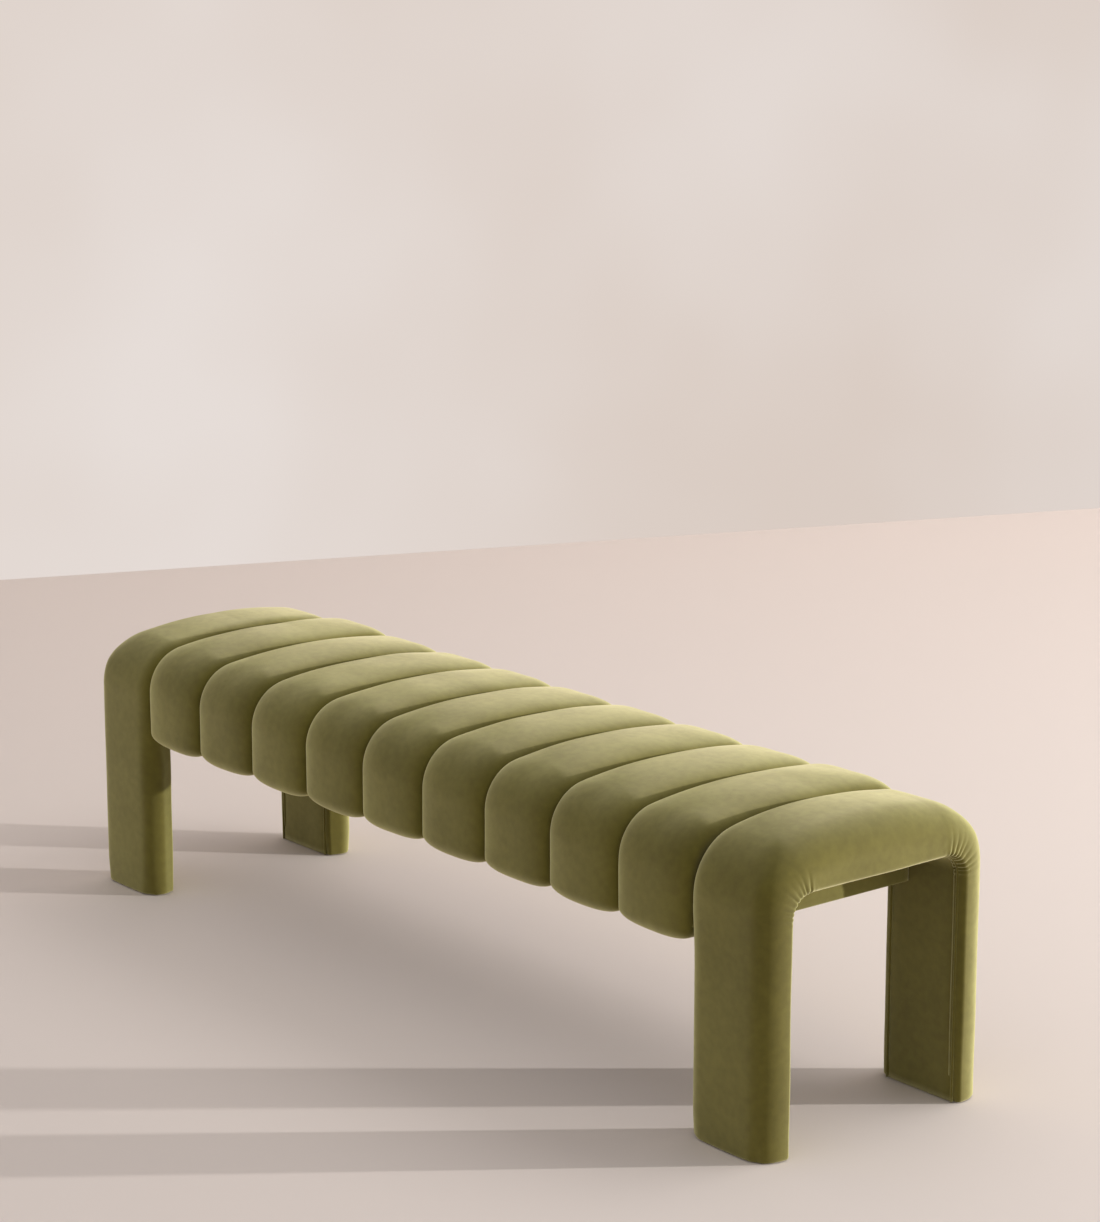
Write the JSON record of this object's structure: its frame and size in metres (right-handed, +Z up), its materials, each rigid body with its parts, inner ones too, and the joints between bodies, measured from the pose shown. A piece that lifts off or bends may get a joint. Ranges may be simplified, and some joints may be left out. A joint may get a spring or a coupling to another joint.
{
  "type": "upholstered bench",
  "caption": "Long backless bench: a seat of side-by-side velvet rolls between two padded velvet arches that form the legs.",
  "frame": {"origin": "on the floor, under the middle of the bench", "axes": "+X along the bench to its right end seen from the front, +Y to the back, +Z up"},
  "size_m": [1.6, 0.416, 0.43],
  "materials": {
    "velvet": "olive velvet with a soft sheen",
    "foam": "open-cell upholstery foam",
    "hardwood": "planed, unfinished",
    "plywood": "sanded, unfinished",
    "fibreboard": "smooth dark fibreboard",
    "dust_cloth": "thin black non-woven cloth",
    "glide_plastic": "hard black plastic",
    "zinc_steel": "bright zinc plated"
  },
  "bodies": {
    "root": {"roll_cover_1": "velvet", "roll_cover_2": "velvet", "roll_cover_3": "velvet", "roll_cover_4": "velvet", "roll_cover_5": "velvet", "roll_cover_6": "velvet", "roll_cover_7": "velvet", "roll_cover_8": "velvet", "roll_cover_9": "velvet", "roll_foam_1": "foam", "roll_foam_2": "foam", "roll_foam_3": "foam", "roll_foam_4": "foam", "roll_foam_5": "foam", "roll_foam_6": "foam", "roll_foam_7": "foam", "roll_foam_8": "foam", "roll_foam_9": "foam", "left_arch_cover": "velvet", "left_arch_foam": "foam", "left_inner_panel": "velvet", "left_piping": "velvet", "left_end_panel": "velvet", "left_front_post": "hardwood", "left_back_post": "hardwood", "left_top_rail": "hardwood", "left_dowels": "hardwood", "left_corner_blocks": "hardwood", "left_leg_caps": "fibreboard", "left_end_rail": "hardwood", "right_arch_cover": "velvet", "right_arch_foam": "foam", "right_inner_panel": "velvet", "right_piping": "velvet", "right_end_panel": "velvet", "right_front_post": "hardwood", "right_back_post": "hardwood", "right_top_rail": "hardwood", "right_dowels": "hardwood", "right_corner_blocks": "hardwood", "right_leg_caps": "fibreboard", "right_end_rail": "hardwood", "front_bearer": "hardwood", "front_facing_board": "plywood", "back_bearer": "hardwood", "back_facing_board": "plywood", "cross_rail_1": "hardwood", "cross_rail_2": "hardwood", "cross_rail_3": "hardwood", "glue_blocks": "hardwood", "seat_deck": "plywood", "dust_cover": "dust_cloth", "glides": "glide_plastic", "frame_bolts": "zinc_steel", "bolt_washers": "zinc_steel", "threaded_inserts": "zinc_steel"}
  },
  "joints": []
}
